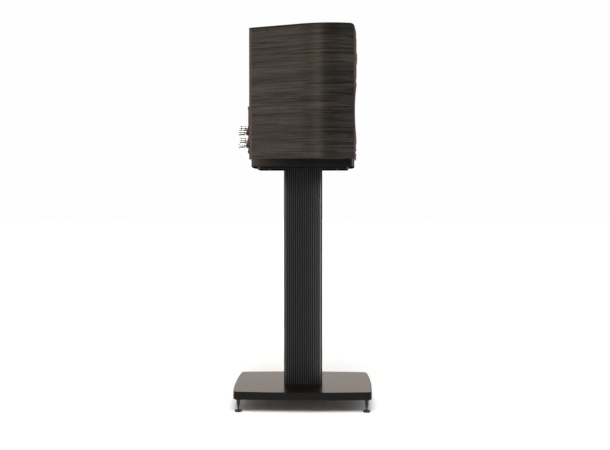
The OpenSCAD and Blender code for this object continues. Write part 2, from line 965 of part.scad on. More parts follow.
module base_plate() {
    color(satin_grey)
        difference() {
            translate([0, 0, base_z])
                linear_extrude(base_t) bowed_rectangle(base_w, base_d, 9.5, 6, 12);
            foot_places() translate([0, 0, base_z - 1]) cylinder(h = base_t - 2, r = thread_r + 0.1);
            tie_bolt_places() {
                translate([0, 0, base_z - 1]) cylinder(h = base_t + 2, r = 4.2);
                translate([0, 0, base_z - 1]) cylinder(h = 10, r = 7);
            }
        }
}

module foot_lock_nuts() {
    color(satin_black)
        foot_places()
            translate([0, 0, base_z - nut_t])
                difference() {
                    cylinder(h = nut_t, r = 7.5);
                    translate([0, 0, -1]) cylinder(h = nut_t + 2, r = thread_r + 0.1);
                }
}

module foot_disc(i) {
    color(satin_black)
        translate([FEET[i][0] * foot_x, FEET[i][1] * foot_y, 0])
            rotate_extrude()
                polygon([
                    [0, 0], [disc_r - 0.6, 0], [disc_r, 0.8], [disc_r, disc_t - 1.2],
                    [disc_r - 1, disc_t], [2.8, disc_t], [1.7, disc_t - 1.4], [0, disc_t - 1.4]
                ]);
}

module foot_spike(i) {
    shoulder = base_z - nut_t - gap;
    color(satin_black)
        translate([FEET[i][0] * foot_x, FEET[i][1] * foot_y, 0])
            rotate_extrude()
                polygon([
                    [0, disc_t - 1], [1.2, disc_t - 1], [1.7, disc_t + 0.4], [1.7, disc_t + 4],
                    [spike_r, shoulder - 10.5], [spike_r, shoulder], [thread_r, shoulder],
                    [thread_r, spike_top], [0, spike_top]
                ]);
}

side_panel(-1);  // left_side_panel
side_panel(1);  // right_side_panel
rear_panel();
front_baffle();
top_panel();
bottom_board();
window_brace();
damping_wadding();
port_duct();
port_trim();
crossover_board();
crossover_inductors();
crossover_capacitors();
internal_wiring();
woofer_basket();
woofer_magnet();
woofer_top_plate();
woofer_yoke();
woofer_spider();
woofer_surround();
woofer_trim_ring();
woofer_screws();
woofer_cone();
woofer_voice_coil();
woofer_dust_cap();
tweeter_faceplate();
tweeter_magnet();
tweeter_rear_chamber();
tweeter_surround();
tweeter_screws();
tweeter_dome();
tweeter_voice_coil();
terminal_plate();
terminal_screws();
post_studs();
post_rings(1);  // post_rings_red
post_rings(-1);  // post_rings_black
post_collar(0);  // post_collar_1
post_collar(1);  // post_collar_2
post_collar(2);  // post_collar_3
post_collar(3);  // post_collar_4
post_knob(0);  // post_knob_1
post_knob(1);  // post_knob_2
post_knob(2);  // post_knob_3
post_knob(3);  // post_knob_4
stand_top_plate();
cabinet_bolts();
column_flange();
fluted_column();
column_tie_bolts();
base_plate();
foot_lock_nuts();
foot_disc(0);  // foot_disc_1
foot_disc(1);  // foot_disc_2
foot_disc(2);  // foot_disc_3
foot_disc(3);  // foot_disc_4
foot_spike(0);  // foot_spike_1
foot_spike(1);  // foot_spike_2
foot_spike(2);  // foot_spike_3
foot_spike(3);  // foot_spike_4
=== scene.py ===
"""Looks of a two-way bookshelf speaker on its fluted floor stand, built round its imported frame.

Metres throughout. X is the width, -Y is the front with the drivers, +Z is up.
"""
import json
import math
from contextlib import contextmanager

import bmesh
import bpy
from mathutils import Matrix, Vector

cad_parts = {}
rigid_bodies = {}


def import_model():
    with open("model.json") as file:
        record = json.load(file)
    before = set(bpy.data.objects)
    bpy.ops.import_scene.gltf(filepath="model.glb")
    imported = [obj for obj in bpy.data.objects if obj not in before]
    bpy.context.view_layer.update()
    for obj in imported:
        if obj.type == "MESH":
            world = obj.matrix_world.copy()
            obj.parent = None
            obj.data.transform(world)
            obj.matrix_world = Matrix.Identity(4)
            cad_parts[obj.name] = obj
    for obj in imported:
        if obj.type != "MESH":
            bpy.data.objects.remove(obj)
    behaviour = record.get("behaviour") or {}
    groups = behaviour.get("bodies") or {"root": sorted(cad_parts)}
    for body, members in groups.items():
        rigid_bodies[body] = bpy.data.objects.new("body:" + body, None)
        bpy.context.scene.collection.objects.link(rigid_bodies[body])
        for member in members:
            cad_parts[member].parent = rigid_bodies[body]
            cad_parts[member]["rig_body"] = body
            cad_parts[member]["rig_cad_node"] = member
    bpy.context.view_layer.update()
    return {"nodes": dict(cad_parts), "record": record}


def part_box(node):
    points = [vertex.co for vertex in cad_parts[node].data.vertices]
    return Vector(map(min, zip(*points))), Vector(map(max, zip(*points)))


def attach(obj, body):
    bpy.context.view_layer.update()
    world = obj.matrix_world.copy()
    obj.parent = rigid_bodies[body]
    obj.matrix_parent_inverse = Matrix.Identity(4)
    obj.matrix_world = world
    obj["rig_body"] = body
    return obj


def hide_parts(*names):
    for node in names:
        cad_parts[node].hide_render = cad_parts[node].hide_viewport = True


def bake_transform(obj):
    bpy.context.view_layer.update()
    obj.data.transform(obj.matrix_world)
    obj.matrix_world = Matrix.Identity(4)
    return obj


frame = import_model()

MM = 0.001
MERGE = 1e-6  # corners nearer than this become one
POLE = 1e-7  # radius of a turned piece where it meets its axis
CORNERS = [(a, b) for a in (-1, 1) for b in (-1, 1)]
MIX_FIRST, MIX_SECOND, MIX_COLOUR = 6, 7, 2
SLOT_OF = {part["node"]: part["material_slot"] for part in frame["record"]["subparts"]}


# ---- Places, all from the frame ----


def middle(node):
    low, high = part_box(node)
    return (low + high) / 2


def radius_of(node):
    """Largest radius of a node that is round about Y or Z, in millimetres."""
    low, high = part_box(node)
    return (high.x - low.x) / 2 / MM


def depth_of(node):
    """Size along Y, in millimetres."""
    low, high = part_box(node)
    return (high.y - low.y) / MM


def height_of(node):
    """Size along Z, in millimetres."""
    low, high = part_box(node)
    return (high.z - low.z) / MM


# ---- Shader graphs ----


class Link:
    """An output in a shader graph. Arithmetic on it adds the Math nodes."""

    def __init__(self, graph, socket):
        self.graph = graph
        self.socket = socket

    def __add__(self, other):
        return self.graph.maths("ADD", self, other)

    def __radd__(self, other):
        return self.graph.maths("ADD", other, self)

    def __sub__(self, other):
        return self.graph.maths("SUBTRACT", self, other)

    def __rsub__(self, other):
        return self.graph.maths("SUBTRACT", other, self)

    def __mul__(self, other):
        return self.graph.maths("MULTIPLY", self, other)

    def __rmul__(self, other):
        return self.graph.maths("MULTIPLY", other, self)


class Graph:
    """A node tree with one method that makes every node, and short names for the usual ones."""

    def __init__(self, tree):
        self.tree = tree

    def node(self, kind, settings=None, inputs=None, output=0):
        made = self.tree.nodes.new(kind)
        for name, value in (settings or {}).items():
            if name == "stops":
                self.set_ramp(made.color_ramp, value)
            else:
                setattr(made, name, value)
        for name, value in (inputs or {}).items():
            self.feed(made.inputs[name], value)
        return Link(self, made.outputs[output])

    def feed(self, socket, value):
        if isinstance(value, Link):
            self.tree.links.new(value.socket, socket)
        else:
            socket.default_value = value

    @staticmethod
    def set_ramp(ramp, stops):
        while len(ramp.elements) < len(stops):
            ramp.elements.new(1.0)
        for element, (place, colour) in zip(ramp.elements, stops):
            element.position = place
            element.color = (*colour, 1)

    def noise(self, where, scale, detail=2.0, roughness=0.5):
        inputs = {"Vector": where, "Scale": scale, "Detail": detail, "Roughness": roughness}
        return self.node("ShaderNodeTexNoise", {}, inputs)

    def cells(self, where, scale, feature="F1"):
        return self.node("ShaderNodeTexVoronoi", {"feature": feature}, {"Vector": where, "Scale": scale})

    def parts(self, where):
        return [self.node("ShaderNodeSeparateXYZ", {}, {0: where}, axis) for axis in "XYZ"]

    def point(self, x, y, z):
        return self.node("ShaderNodeCombineXYZ", {}, {"X": x, "Y": y, "Z": z})

    def maths(self, operation, *values):
        return self.node("ShaderNodeMath", {"operation": operation}, dict(enumerate(values)))

    def absolute(self, value):
        return self.maths("ABSOLUTE", value)

    def step(self, value, low, high):
        """0 below low, 1 above high and smooth between them."""
        inputs = {"Value": value, "From Min": low, "From Max": high}
        return self.node("ShaderNodeMapRange", {"interpolation_type": "SMOOTHSTEP"}, inputs)

    def ramp(self, value, *stops):
        return self.node("ShaderNodeValToRGB", {"stops": stops}, {"Fac": value})

    def blend(self, share, first, second):
        inputs = {"Factor": share, MIX_FIRST: first, MIX_SECOND: second}
        return self.node("ShaderNodeMix", {"data_type": "RGBA"}, inputs, MIX_COLOUR)


class Finish(Graph):
    """A material in the making. Constants go straight to the shader's own sockets."""

    def __init__(self, name, **constants):
        self.material = bpy.data.materials.new(name)
        self.material.use_nodes = True
        super().__init__(self.material.node_tree)
        self.shader = self.tree.nodes["Principled BSDF"]
        for socket, value in constants.items():
            self.shader.inputs[socket.replace("_", " ")].default_value = value
        self.place = self.node("ShaderNodeTexCoord", output="Object")

    def axes(self):
        return self.parts(self.place)

    def grain(self, scale, detail=2.0, roughness=0.5, stretch=None):
        """Noise over the piece, finer along the axes with the larger factors."""
        where = self.place
        if stretch:
            where = self.node("ShaderNodeMapping", {}, {"Vector": where, "Scale": stretch})
        return self.noise(where, scale, detail, roughness)

    def set(self, colour=None, roughness=None, metallic=None):
        for socket, value in (("Base Color", colour), ("Roughness", roughness), ("Metallic", metallic)):
            if value is not None:
                self.feed(self.shader.inputs[socket], value)

    def bump(self, height, distance, strength=1.0):
        inputs = {"Height": height, "Distance": distance, "Strength": strength}
        self.feed(self.shader.inputs["Normal"], self.node("ShaderNodeBump", {}, inputs))
        return self

    def matte_underside(self, colour):
        """Leaves the faces that look down unpolished."""
        down = self.step(self.parts(self.node("ShaderNodeTexCoord", output="Normal"))[2], -0.5, -0.8)
        matte = self.node("ShaderNodeBsdfDiffuse", {}, {"Color": colour})
        polished = Link(self, self.shader.outputs["BSDF"])
        mixed = self.node("ShaderNodeMixShader", {}, {0: down, 1: polished, 2: matte})
        self.feed(self.tree.nodes["Material Output"].inputs["Surface"], mixed)

    def worn(self, colour, wear, spread, scale):
        """A colour with soft blotches of another over it."""
        blotches = self.step(self.grain(scale, 3), 0.5 - spread, 0.5 + spread)
        return self.blend(blotches, colour, wear)


def grey(level):
    return (level, level, level, 1)


def tint(red, green, blue):
    return (red, green, blue, 1)


# ---- Wood ----


def wood_grain(finish, along_y, dark, mid, light):
    """Long wandering streaks with fine fibres and pores. Returns (colour, height of the relief)."""
    x, y, z = finish.axes()
    run, across = (y, z) if along_y else (z, y + x)
    wander = finish.noise(finish.point(x, run * 2.2, across * 7), 1, 2)
    level = across + wander * 0.006

    def lines(pitch, length, offset=0.0):
        return finish.noise(finish.point(x * 3, run * (1 / length) + offset, level * (1 / pitch)), 1, 3, 0.6)

    bands = finish.step(lines(0.030, 0.5), 0.34, 0.68)
    streaks = finish.step(lines(0.0052, 0.24, 3.0), 0.55, 0.60)
    threads = finish.step(lines(0.0022, 0.12, 7.0), 0.47, 0.58)
    fibres = lines(0.0012, 0.04, 11.0)
    pores = finish.step(lines(0.0018, 0.012, 17.0), 0.58, 0.68)
    ground = finish.blend(bands, light, mid)
    ground = finish.blend(threads * 0.75, ground, dark)
    ground = finish.blend(streaks, ground, dark)
    ground = finish.blend(pores * 0.65, ground, dark)
    colour = finish.blend(finish.step(fibres, 0.2, 0.8) * 0.2, ground, light)
    return colour, 1.0 - streaks * 0.5 - pores * 0.6 - threads * 0.3


VENEER_TONES = tint(0.0006, 0.0006, 0.0005), tint(0.0100, 0.0088, 0.0068), tint(0.0330, 0.0275, 0.0215)
EDGE_TONES = tint(0.024, 0.010, 0.009), tint(0.052, 0.023, 0.020), tint(0.072, 0.034, 0.030)
LACQUER = {"Specular_IOR_Level": 0.1, "Coat_Roughness": 0.2}
# Depth of the painted highlight along the front edge of the side panels
FRONT_HIGHLIGHT_DEPTH = 3.1 * MM
BARE_BACK = 8.2 * MM


def lacquered(finish, colour, relief):
    """A thin satin coat, duller in the pores."""
    finish.set(colour, 0.5 - relief * 0.1)
    finish.feed(finish.shader.inputs["Coat Weight"], relief * 0.5 + 0.4)
    return finish.bump(relief, 0.0001, 0.3)


def veneer():
    """Dark veneer with a painted highlight: a flat reddish band along its front edge stands in for the light
    on the rounded edge.
    """
    finish = Finish("veneer", **LACQUER)
    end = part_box("left_side_panel")[0].y + FRONT_HIGHLIGHT_DEPTH
    # Painted highlight: the front few millimetres get a flat reddish tone for the light on the rounded front
    # edge
    painted_front_highlight = finish.step(finish.axes()[1], end + 0.3 * MM, end - 0.3 * MM)
    colour, relief = wood_grain(finish, True, *VENEER_TONES)
    return lacquered(finish, finish.blend(painted_front_highlight, colour, EDGE_TONES[1]), relief)


def edge_wood():
    """The reddish edging round the back. The side veneer laps over all but its last few millimetres."""
    finish = Finish("edge_wood", **LACQUER)
    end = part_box("rear_panel")[1].y - BARE_BACK
    bare = finish.step(finish.axes()[1], end - 0.2 * MM, end + 0.2 * MM)
    lap, lap_relief = wood_grain(finish, True, *VENEER_TONES)
    colour, relief = wood_grain(finish, False, *EDGE_TONES)
    return lacquered(finish, finish.blend(bare, lap, colour), bare * relief + (1.0 - bare) * lap_relief)


def mdf():
    """Bare board, painted black where it ends at the bottom of the cabinet."""
    finish = Finish("mdf")
    flecks = finish.grain(900, 4, 0.7)
    tones = (0.3, (0.27, 0.17, 0.10)), (0.6, (0.44, 0.31, 0.20)), (0.8, (0.52, 0.39, 0.26))
    colour = finish.ramp(flecks, *tones)
    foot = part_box("left_side_panel")[0].z
    bare = finish.step(finish.axes()[2], foot + 0.4 * MM, foot + 0.8 * MM)
    finish.set(finish.blend(bare, grey(0.006), colour), 0.72 + flecks * 0.2)
    return finish.bump(flecks, 0.0002, 0.4)


# ---- Leather, cloth, paper and rubber ----


def leather():
    finish = Finish("leather", Specular_IOR_Level=0.08)
    creases = finish.step(finish.cells(finish.place, 620, "DISTANCE_TO_EDGE"), 0.0, 0.16)
    grain = finish.step(finish.cells(finish.place, 1500, "DISTANCE_TO_EDGE"), 0.0, 0.2)
    relief = creases * 0.7 + grain * 0.3
    sheen = finish.grain(30, 2)
    colour = finish.blend(relief, grey(0.004), tint(0.013, 0.0125, 0.0125))
    finish.set(colour, 0.58 - relief * 0.12 + sheen * 0.06)
    return finish.bump(relief, 0.00014, 0.5)


def felt():
    finish = Finish("felt", Sheen_Weight=0.3, Sheen_Roughness=0.6)
    strands = finish.grain(260, 5, 0.75, stretch=(1, 3, 6))
    tufts = finish.grain(90, 3)
    tones = (0.25, (0.42, 0.40, 0.36)), (0.55, (0.66, 0.64, 0.60)), (0.8, (0.80, 0.79, 0.76))
    colour = finish.ramp(strands, *tones)
    finish.set(colour, 0.88 + tufts * 0.1)
    return finish.bump(strands + tufts, 0.0012, 0.7)


def weave(finish, pitch):
    """0 to 1 over the crowns of a plain weave on the faces that look along Y."""
    x, _, z = finish.axes()
    turns = 2 * math.pi / pitch
    return finish.maths("SINE", x * turns) * finish.maths("SINE", z * turns) * 0.5 + 0.5


def silk():
    finish = Finish("silk", Specular_IOR_Level=0.5, Sheen_Weight=0.25, Sheen_Roughness=0.4)
    threads = weave(finish, 0.0005)
    colour = finish.blend(threads, grey(0.008), tint(0.030, 0.030, 0.034))
    finish.set(finish.worn(colour, tint(0.022, 0.021, 0.024), 0.2, 120), 0.42 + threads * 0.2)
    return finish.bump(threads, 0.00006, 0.5)


def spider():
    finish = Finish("spider")
    threads = weave(finish, 0.0009)
    blotch = finish.grain(60, 3)
    colour = finish.blend(threads, tint(0.30, 0.17, 0.05), tint(0.56, 0.38, 0.14))
    finish.set(finish.blend(blotch * 0.4, colour, tint(0.36, 0.20, 0.06)), 0.8)
    return finish.bump(threads, 0.0001, 0.6)


def paper():
    finish = Finish("paper", Specular_IOR_Level=0.4)
    pulp = finish.grain(420, 5, 0.7)
    hairs = finish.step(finish.grain(190, 4, 0.8, stretch=(1, 1, 7)), 0.60, 0.70)
    other = finish.step(finish.grain(190, 4, 0.8, stretch=(7, 1, 1)), 0.60, 0.70)
    fibres = hairs + other
    colour = finish.blend(pulp, tint(0.020, 0.020, 0.022), tint(0.052, 0.052, 0.056))
    colour = finish.blend(fibres * 0.45, colour, tint(0.13, 0.125, 0.12))
    finish.set(colour, 0.62 + pulp * 0.2)
    return finish.bump(pulp + fibres * 0.4, 0.00022, 0.5)


def rubber():
    finish = Finish("rubber", Specular_IOR_Level=0.4)
    skin = finish.grain(1400, 3)
    dust = finish.step(finish.grain(160, 4, 0.7), 0.55, 0.85)
    finish.set(finish.blend(dust * 0.3, grey(0.010), tint(0.035, 0.034, 0.033)), 0.56 + skin * 0.14)
    return finish.bump(skin, 0.00004, 0.4)


def wire():
    finish = Finish("wire", Specular_IOR_Level=0.5)
    smudge = finish.grain(240, 3)
    finish.set(finish.blend(smudge, tint(0.28, 0.012, 0.010), tint(0.42, 0.03, 0.02)), 0.34 + smudge * 0.2)
    return finish.bump(smudge, 0.0001, 0.3)


# ---- Plastics ----


def moulded(name, dark, light, roughness, pitch=0.0006):
    """Fine spark-eroded texture with slight smudges."""
    finish = Finish(name, Specular_IOR_Level=0.36)
    spark = finish.grain(1 / pitch, 2)
    smudge = finish.grain(45, 3)
    finish.set(finish.blend(smudge, dark, light), roughness + spark * 0.12 + smudge * 0.08)
    return finish.bump(spark, 0.00003, 0.4)


def black_plastic():
    return moulded("black_plastic", grey(0.010), grey(0.020), 0.36)


def red_plastic():
    return moulded("red_plastic", tint(0.36, 0.008, 0.006), tint(0.46, 0.016, 0.012), 0.22, 0.0015)


def film_cap():
    finish = Finish("film_cap", Coat_Weight=0.4, Coat_Roughness=0.1)
    wraps = finish.grain(900, 2, stretch=(1, 0.05, 1))
    blotch = finish.grain(70, 2)
    colour = finish.blend(wraps, tint(0.42, 0.07, 0.03), tint(0.58, 0.12, 0.05))
    finish.set(finish.blend(blotch * 0.4, colour, tint(0.34, 0.05, 0.02)), 0.24 + wraps * 0.1)
    return finish.bump(wraps, 0.00005, 0.3)


def circuit_board():
    """Solder mask over wide copper tracks with tinned pads."""
    finish = Finish("circuit_board", Specular_IOR_Level=0.5)
    x, y, _ = finish.axes()
    cell = finish.node(
        "ShaderNodeTexVoronoi",
        {"feature": "F1", "distance": "CHEBYCHEV"},
        {"Vector": finish.point(x, y, 0.0), "Scale": 70, "Randomness": 0.8},
    )
    tracks = 1.0 - finish.step(cell, 0.36, 0.42)
    pads = 1.0 - finish.step(cell, 0.07, 0.09)
    colour = finish.blend(tracks, tint(0.010, 0.060, 0.022), tint(0.022, 0.120, 0.042))
    finish.set(finish.blend(pads, colour, tint(0.62, 0.60, 0.56)), 0.36 - pads * 0.1, pads * 0.9)
    return finish.bump(tracks + pads, 0.00008, 0.6)


# ---- Metals ----


def brushed(name, dark, light, roughness, metallic=1.0, axes=(1.0, 1.0, 0.03), scale=1600):
    """Fine scratches that run along the axis with the smallest factor."""
    finish = Finish(name, Metallic=metallic)
    scratches = finish.grain(scale, 3, 0.6, axes)
    cloud = finish.grain(60, 3)
    colour = finish.blend(finish.step(scratches, 0.3, 0.7), dark, light)
    finish.set(finish.blend(cloud * 0.25, colour, dark), roughness + scratches * 0.12 + cloud * 0.06)
    return finish.bump(scratches, 0.00003, 0.35)


FLUTE_FLOOR = 7.5 * MM


def bright_metal():
    """Polished nickel. On the knobs of the posts the bottoms of the flutes are painted near black, as painted
    shade in those hollows.

    On each side the two posts stand half their spacing above and below a level of that side's own.
    """
    finish = Finish("bright_metal", Metallic=1.0)
    x, y, z = finish.axes()
    spots = [middle(f"post_knob_{number}") for number in range(1, 5)]
    levels = [(spots[i].z + spots[i + 1].z) / 2 for i in (0, 2)]
    reaches = [abs(spots[i].z - spots[i + 1].z) / 2 for i in (0, 2)]
    right = finish.step(x, -1 * MM, 1 * MM)
    off_x = finish.absolute(x) - spots[2].x
    off_level = finish.absolute(z - (right * (levels[1] - levels[0]) + levels[0]))
    off_z = off_level - (right * (reaches[1] - reaches[0]) + reaches[0])
    blur = 0.15 * MM
    off_axis = off_x * off_x + off_z * off_z
    in_flute = finish.step(off_axis, (FLUTE_FLOOR + blur) ** 2, (FLUTE_FLOOR - blur) ** 2)
    foot, end = (corner.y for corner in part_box("post_knob_1"))
    past_foot = finish.step(y, foot + 1.6 * MM, foot + 2.0 * MM)
    before_end = finish.step(y, end - 0.7 * MM, end - 1.0 * MM)
    # Painted shade: the bottoms of the knobs' flutes are painted near black
    black = in_flute * past_foot * before_end
    turning = finish.grain(1600, 3, 0.6, stretch=(1, 0.05, 1))
    colour = finish.blend(turning, tint(0.40, 0.39, 0.37), tint(0.66, 0.65, 0.63))
    finish.set(finish.blend(black, colour, grey(0.012)), 0.12 + turning * 0.1 + black * 0.25)
    return finish.bump(turning, 0.00002, 0.3)


def plated_steel():
    return brushed("plated_steel", tint(0.40, 0.40, 0.38), tint(0.68, 0.68, 0.66), 0.24, axes=(1.0, 1.0, 1.0))


def black_steel():
    return brushed("black_steel", grey(0.012), tint(0.045, 0.044, 0.043), 0.26, 0.6, (1.0, 1.0, 0.3))


def copper():
    finish = Finish("copper", Coat_Weight=0.5, Coat_Roughness=0.12)
    turns = finish.grain(1500, 1, stretch=(0.06, 0.06, 1))
    colour = finish.blend(finish.step(turns, 0.35, 0.65), tint(0.30, 0.09, 0.03), tint(0.78, 0.34, 0.16))
    finish.set(colour, 0.22 + turns * 0.12, 0.95)
    return finish.bump(turns, 0.0001, 0.6)


def ferrite():
    finish = Finish("ferrite", Specular_IOR_Level=0.5)
    grit = finish.grain(1100, 4, 0.7)
    chips = finish.step(finish.grain(75, 4, 0.8), 0.68, 0.72)
    colour = finish.blend(grit, grey(0.020), tint(0.055, 0.054, 0.058))
    finish.set(finish.blend(chips * 0.5, colour, grey(0.10)), 0.5 + grit * 0.2, 0.2)
    return finish.bump(grit - chips, 0.0002, 0.4)


def coated(finish, dark, light, roughness, peel, pitch):
    """Sprayed or powder-coated metal, with the faint relief of the coat."""
    coat = finish.grain(1 / pitch, 2)
    cloud = finish.grain(12, 3)
    speck = finish.step(finish.grain(1700, 1), 0.72, 0.78)
    colour = finish.blend(cloud, dark, light)
    finish.set(finish.blend(speck * 0.3, colour, grey(0.08)), roughness + coat * 0.06 + cloud * 0.05)
    return finish.bump(coat, peel, 0.5)


def cast_black():
    finish = Finish("cast_black", Specular_IOR_Level=0.36)
    return coated(finish, grey(0.008), grey(0.014), 0.42, 0.00006, 0.0012)


def stand_black():
    """Gloss black lacquer."""
    finish = Finish("stand_black", Specular_IOR_Level=0.8)
    finish.matte_underside(grey(0.004))
    return coated(finish, grey(0.003), grey(0.006), 0.09, 0.00001, 0.001)


def stand_base():
    finish = Finish("stand_base", Specular_IOR_Level=0.16, Specular_Tint=tint(1, 0.94, 0.9))
    return coated(finish, tint(0.002, 0.0018, 0.0017), tint(0.004, 0.0035, 0.0032), 0.2, 0.00003, 0.002)


def stand_column():
    """Satin black in the flutes, with painted highlights: the lands between them are painted brighter for the
    light their edges catch.
    """
    finish = Finish("stand_column", Specular_IOR_Level=0.15)
    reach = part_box("fluted_column")[1]
    x, y, _ = finish.axes()
    # Painted highlight: the lands between the flutes get a brighter grey, standing in for the light they
    # catch
    highlight_lands_x = finish.step(finish.absolute(x), reach.x - 1.5 * MM, reach.x - 0.6 * MM)
    highlight_lands_y = finish.step(finish.absolute(y), reach.y - 1.5 * MM, reach.y - 0.6 * MM)
    painted_highlight_lands = finish.maths("MAXIMUM", highlight_lands_x, highlight_lands_y)
    drawn = finish.grain(500, 2, 0.6, stretch=(1, 1, 0.02))
    cloud = finish.grain(8, 2)
    colour = finish.blend(drawn, grey(0.0008), grey(0.002))
    finish.set(finish.blend(painted_highlight_lands, colour, grey(0.038)), 0.5 + drawn * 0.05 + cloud * 0.03 - painted_highlight_lands * 0.16)
    return finish


FINISHES = {
    make.__name__: make().material
    for make in (
        veneer, edge_wood, leather, mdf, felt, black_plastic, circuit_board, copper, film_cap, wire,
        cast_black, ferrite, plated_steel, spider, rubber, paper, silk, bright_metal, red_plastic,
        stand_black, stand_column, stand_base, black_steel,
    )
}


# ---- Hand tools ----


def deselect():
    bpy.ops.object.select_all(action="DESELECT")


def take(piece):
    """Makes a piece the only one selected."""
    deselect()
    piece.select_set(True)
    bpy.context.view_layer.objects.active = piece


@contextmanager
def editing(piece, everything=True):
    """Edit mode on one piece, with all of it selected or none of it."""
    take(piece)
    bpy.ops.object.mode_set(mode="EDIT")
    bpy.ops.mesh.select_mode(type="VERT")
    bpy.ops.mesh.select_all(action="SELECT" if everything else "DESELECT")
    yield
    bpy.ops.object.mode_set(mode="OBJECT")


def pick(test, kind="VERT"):
    """Selects only those corners, edges or faces of the edited piece that pass a test."""
    bpy.ops.mesh.select_mode(type=kind)
    bpy.ops.mesh.select_all(action="DESELECT")
    mesh = bmesh.from_edit_mesh(bpy.context.edit_object.data)
    for part in {"VERT": mesh.verts, "EDGE": mesh.edges, "FACE": mesh.faces}[kind]:
        part.select_set(bool(test(part)))
    bmesh.update_edit_mesh(bpy.context.edit_object.data)


def rod(sides, radius, length, up=0):
    """A plain rod or prism about Z, its middle at a height. Millimetres."""
    deselect()
    place = (0, 0, up * MM)
    bpy.ops.mesh.primitive_cylinder_add(vertices=sides, radius=radius * MM, depth=length * MM, location=place)
    return bpy.context.object


def modified(piece, kind, **settings):
    """Adds one modifier and applies it."""
    take(piece)
    modifier = piece.modifiers.new(kind.lower(), kind)
    for name, value in settings.items():
        setattr(modifier, name, value)
    bpy.ops.object.modifier_apply(modifier=modifier.name)
    return piece


def placed(piece, at=(0, 0, 0), turn=(0, 0, 0)):
    """Turns and moves a piece and puts its place into its mesh."""
    take(piece)
    piece.location = at
    piece.rotation_euler = turn
    bpy.ops.object.transform_apply(location=True, rotation=True, scale=True)
    return piece


def smoothed(piece, degrees=32):
    take(piece)
    bpy.ops.object.shade_smooth_by_angle(angle=math.radians(degrees))
    return piece


def copied(piece, name):
    """A second piece with a mesh of its own."""
    take(piece)
    bpy.ops.object.duplicate()
    twin = bpy.context.object
    twin.name = name
    return twin


def cut(piece, cutter, operation="DIFFERENCE"):
    """Takes one shape out of another, or keeps what they share."""
    modified(piece, "BOOLEAN", object=cutter, operation=operation, solver="EXACT")
    bpy.data.objects.remove(cutter)
    return piece


def joined(pieces):
    take(pieces[0])
    for piece in pieces:
        piece.select_set(True)
    bpy.ops.object.join()
    return pieces[0]


def painted(piece, slot):
    piece.data.materials.clear()
    piece.data.materials.append(FINISHES[slot])


def dressed(piece, body, node, slot=None):
    """Gives a finished piece its material and sets it on its body, for the node it stands for."""
    painted(piece, slot or SLOT_OF[node])
    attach(piece, body)
    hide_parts(node)
    return piece


FACE_FRONT = (math.radians(90), 0, 0)
FACE_BACK = (math.radians(-90), 0, 0)


def arc(centre_r, centre_h, radius, start, end, steps):
    """Points on a round stretch of a profile, between two angles in degrees."""
    angles = [math.radians(start + (end - start) * i / steps) for i in range(steps + 1)]
    return [(centre_r + radius * math.cos(a), centre_h + radius * math.sin(a)) for a in angles]


def turned(name, profile, sides=96):
    """A piece turned about Z. Each point of its profile is (radius, height), in millimetres."""
    rings = [(max(radius * MM, POLE), height * MM) for radius, height in profile]
    deselect()
    bpy.ops.mesh.primitive_circle_add(vertices=sides, radius=rings[0][0])
    piece = bpy.context.object
    piece.name = name
    with editing(piece):
        bpy.ops.transform.translate(value=(0, 0, rings[0][1]))
        for (last_r, last_h), (radius, height) in zip(rings, rings[1:]):
            bpy.ops.mesh.extrude_region_move(TRANSFORM_OT_translate={"value": (0, 0, height - last_h)})
            grow = radius / last_r
            bpy.ops.transform.resize(value=(grow, grow, 1), center_override=(0, 0, 0))
        bpy.ops.mesh.select_all(action="SELECT")
        bpy.ops.mesh.remove_doubles(threshold=MERGE)
        bpy.ops.mesh.normals_make_consistent(inside=False)
    return piece


def freed(node, name):
    """A copy of a CAD node, to be worked on as a new piece."""
    piece = copied(frame["nodes"][node], name)
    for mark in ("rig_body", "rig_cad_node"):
        del piece[mark]
    piece.parent = None
    return piece


def eased(node, width):
    """A copy of a CAD node with its sharp edges rounded, which stands for it."""
    body = frame["nodes"][node]["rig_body"]
    piece = freed(node, node + "_eased")
    with editing(piece):
        bpy.ops.mesh.remove_doubles(threshold=MERGE)
        bpy.ops.mesh.dissolve_limited(angle_limit=math.radians(0.2))
    settings = {"width": width * MM, "segments": 2, "limit_method": "ANGLE"}
    modified(piece, "BEVEL", angle_limit=math.radians(38), harden_normals=False, **settings)
    smoothed(piece)
    modified(piece, "WEIGHTED_NORMAL", keep_sharp=True)
    return dressed(piece, body, node)


# ---- Drivers ----

WOOFER = middle("woofer_cone")
TWEETER = middle("tweeter_dome")


def on_axis(piece, driver, y):
    """Sets a turned piece on a driver's axis with its foot at y and its top towards the front."""
    return placed(piece, (driver.x, y, driver.z), FACE_FRONT)


def woofer_cone():
    """A pulp cone, slightly bowed between its throat and its rim."""
    rim = radius_of("woofer_cone")
    throat = radius_of("woofer_voice_coil") - 0.6
    wall = 0.9
    rise = depth_of("woofer_cone") - wall
    bow = 0.8
    steps = 14

    def face(share):
        return (throat + (rim - throat) * share, wall + rise * share - bow * math.sin(math.pi * share))

    front = [face(i / steps) for i in range(steps + 1)]
    back = [(radius, height - wall) for radius, height in reversed(front)]
    piece = turned("woofer_cone_paper", front + back + front[:1], 120)
    on_axis(piece, WOOFER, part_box("woofer_cone")[1].y)
    return dressed(smoothed(piece), "woofer_piston", "woofer_cone")


def domed(node, driver, piston, wall, undercut, steps):
    """A thin cap cut from a ball. Its inside stops short of the rim by the undercut, in degrees."""
    rim = radius_of(node)
    rise = depth_of(node)
    ball = (rim**2 + rise**2) / (2 * rise)
    edge = math.degrees(math.asin((ball - rise) / ball))
    outside = arc(0, rise - ball, ball, edge, 90, steps)
    inside = arc(0, rise - ball, ball - wall, 90, edge + undercut, steps)
    piece = turned(f"{node}_{SLOT_OF[node]}", outside + inside + outside[:1], 96)
    on_axis(piece, driver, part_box(node)[1].y)
    return dressed(smoothed(piece), piston, node)


